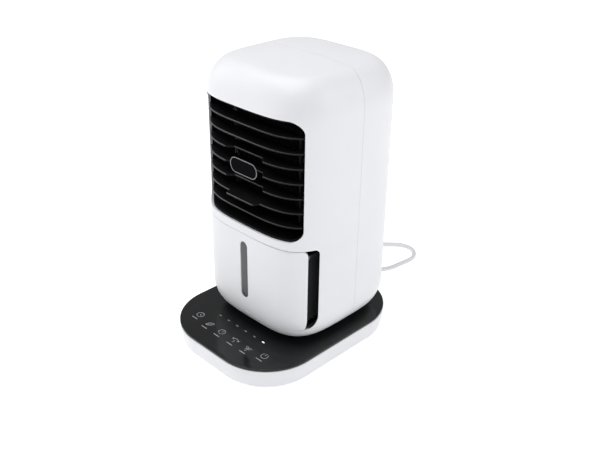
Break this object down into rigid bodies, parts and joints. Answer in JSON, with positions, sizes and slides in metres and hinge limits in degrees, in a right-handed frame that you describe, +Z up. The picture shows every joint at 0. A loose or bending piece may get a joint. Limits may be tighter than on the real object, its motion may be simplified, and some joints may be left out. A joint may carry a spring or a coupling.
{
  "type": "desktop air cooler",
  "caption": "Desktop evaporative air cooler: swinging white body on a flat touch-control base, tilting front louvres, sliding water tank with a level window, axial fan and wet pad.",
  "frame": {"origin": "middle of the base's footprint, on the surface the cooler stands on", "axes": "+Z up, -Y the front with the louvres and the tank, +X to the right as seen from the front"},
  "size_m": [0.219, 0.3756, 0.33],
  "materials": {
    "white_shell": "cool white moulded ABS, satin gloss",
    "gloss_black": "piano black, mirror gloss",
    "black_plastic": "black moulded plastic, low gloss",
    "smoked_plastic": "smoked clear plastic, dark",
    "window_grey": "grey smoked clear plastic",
    "rubber": "matte black rubber",
    "steel": "bare steel",
    "circuit_board": "green circuit board",
    "pad_paper": "charcoal grey corrugated evaporating paper",
    "filter_mesh": "black nylon mesh",
    "nylon": "natural nylon, semi matte",
    "cord_white": "soft white PVC"
  },
  "bodies": {
    "base": {"base_tray": "white_shell", "base_cover": "gloss_black", "foot_front_left": "rubber", "foot_front_right": "rubber", "foot_rear_left": "rubber", "foot_rear_right": "rubber", "base_screw_1": "steel", "base_screw_2": "steel", "base_screw_3": "steel", "base_screw_4": "steel", "touch_board": "circuit_board", "power_board": "circuit_board", "swing_motor": "steel", "swing_bearing": "nylon", "cord_gland": "cord_white", "cord_tube": "cord_white", "cord_coil": "cord_white", "cord_tail": "cord_white", "plug": "cord_white"},
    "swing_pinion": {"swing_pinion": "nylon"},
    "housing": {"front_shell": "white_shell", "rear_shell": "white_shell", "turntable": "black_plastic", "sector_gear": "nylon", "bay_deck": "black_plastic", "tank_rail_left": "black_plastic", "tank_rail_right": "black_plastic", "sump_tray": "black_plastic", "water_pump": "black_plastic", "water_hose": "nylon", "pad_frame": "black_plastic", "cooling_pad": "pad_paper", "water_trough": "black_plastic", "fan_shroud": "black_plastic", "fan_motor": "steel", "grille_frame": "black_plastic", "rear_grille": "white_shell", "dust_filter": "filter_mesh"},
    "fan": {"fan_impeller": "black_plastic", "fan_shaft": "steel"},
    "louvre_1": {"louvre_1": "black_plastic"},
    "louvre_2": {"louvre_2": "black_plastic"},
    "louvre_3": {"louvre_3": "black_plastic"},
    "louvre_4": {"louvre_4": "black_plastic", "badge_plate": "gloss_black"},
    "louvre_5": {"louvre_5": "black_plastic"},
    "louvre_6": {"louvre_6": "black_plastic"},
    "louvre_7": {"louvre_7": "black_plastic"},
    "louvre_link": {"louvre_link": "black_plastic"},
    "tank": {"tank_bin": "smoked_plastic", "tank_front": "white_shell", "level_window": "window_grey", "tank_spout": "black_plastic"},
    "float": {"tank_float": "nylon"}
  },
  "joints": [
    {"name": "swing", "type": "hinge", "parent": "base", "child": "housing", "pos_m": [0, 0.0235, 0], "axis": [0, 0, 1], "range_deg": [-30, 30]},
    {"name": "pinion_turn", "type": "hinge", "parent": "base", "child": "swing_pinion", "pos_m": [0, -0.038, 0], "axis": [0, 0, 1], "range_deg": [-180, 180]},
    {"name": "fan_spin", "type": "hinge", "parent": "housing", "child": "fan", "pos_m": [0, 0.0235, 0.226], "axis": [0, 1, 0], "continuous": true},
    {"name": "louvre_6_tilt", "type": "hinge", "parent": "housing", "child": "louvre_6", "pos_m": [0, -0.0405, 0.1911], "axis": [1, 0, 0], "range_deg": [-22, 22]},
    {"name": "louvre_1_tilt", "type": "hinge", "parent": "housing", "child": "louvre_1", "pos_m": [0, -0.0405, 0.2721], "axis": [1, 0, 0], "range_deg": [-22, 22]},
    {"name": "louvre_2_tilt", "type": "hinge", "parent": "housing", "child": "louvre_2", "pos_m": [0, -0.0405, 0.2559], "axis": [1, 0, 0], "range_deg": [-22, 22]},
    {"name": "louvre_3_tilt", "type": "hinge", "parent": "housing", "child": "louvre_3", "pos_m": [0, -0.0405, 0.2397], "axis": [1, 0, 0], "range_deg": [-22, 22]},
    {"name": "louvre_4_tilt", "type": "hinge", "parent": "housing", "child": "louvre_4", "pos_m": [0, -0.0405, 0.2235], "axis": [1, 0, 0], "range_deg": [-22, 22]},
    {"name": "louvre_5_tilt", "type": "hinge", "parent": "housing", "child": "louvre_5", "pos_m": [0, -0.0405, 0.2073], "axis": [1, 0, 0], "range_deg": [-22, 22]},
    {"name": "louvre_7_tilt", "type": "hinge", "parent": "housing", "child": "louvre_7", "pos_m": [0, -0.0405, 0.1749], "axis": [1, 0, 0], "range_deg": [-22, 22]},
    {"name": "link_turn", "type": "hinge", "parent": "louvre_6", "child": "louvre_link", "pos_m": [0.061, -0.0345, 0.1911], "axis": [1, 0, 0], "range_deg": [-22, 22]},
    {"name": "tank_slide", "type": "slide", "parent": "housing", "child": "tank", "axis": [0, -1, 0], "range_m": [0, 0.11]},
    {"name": "float_rise", "type": "slide", "parent": "tank", "child": "float", "axis": [0, 0, 1], "range_m": [0, 0.05]}
  ],
  "couplings": [
    {"joint": "pinion_turn", "follows": "swing", "ratio": -5.8333},
    {"joint": "louvre_1_tilt", "follows": "louvre_6_tilt", "ratio": 1},
    {"joint": "louvre_2_tilt", "follows": "louvre_6_tilt", "ratio": 1},
    {"joint": "louvre_3_tilt", "follows": "louvre_6_tilt", "ratio": 1},
    {"joint": "louvre_4_tilt", "follows": "louvre_6_tilt", "ratio": 1},
    {"joint": "louvre_5_tilt", "follows": "louvre_6_tilt", "ratio": 1},
    {"joint": "louvre_7_tilt", "follows": "louvre_6_tilt", "ratio": 1},
    {"joint": "link_turn", "follows": "louvre_6_tilt", "ratio": -1}
  ]
}
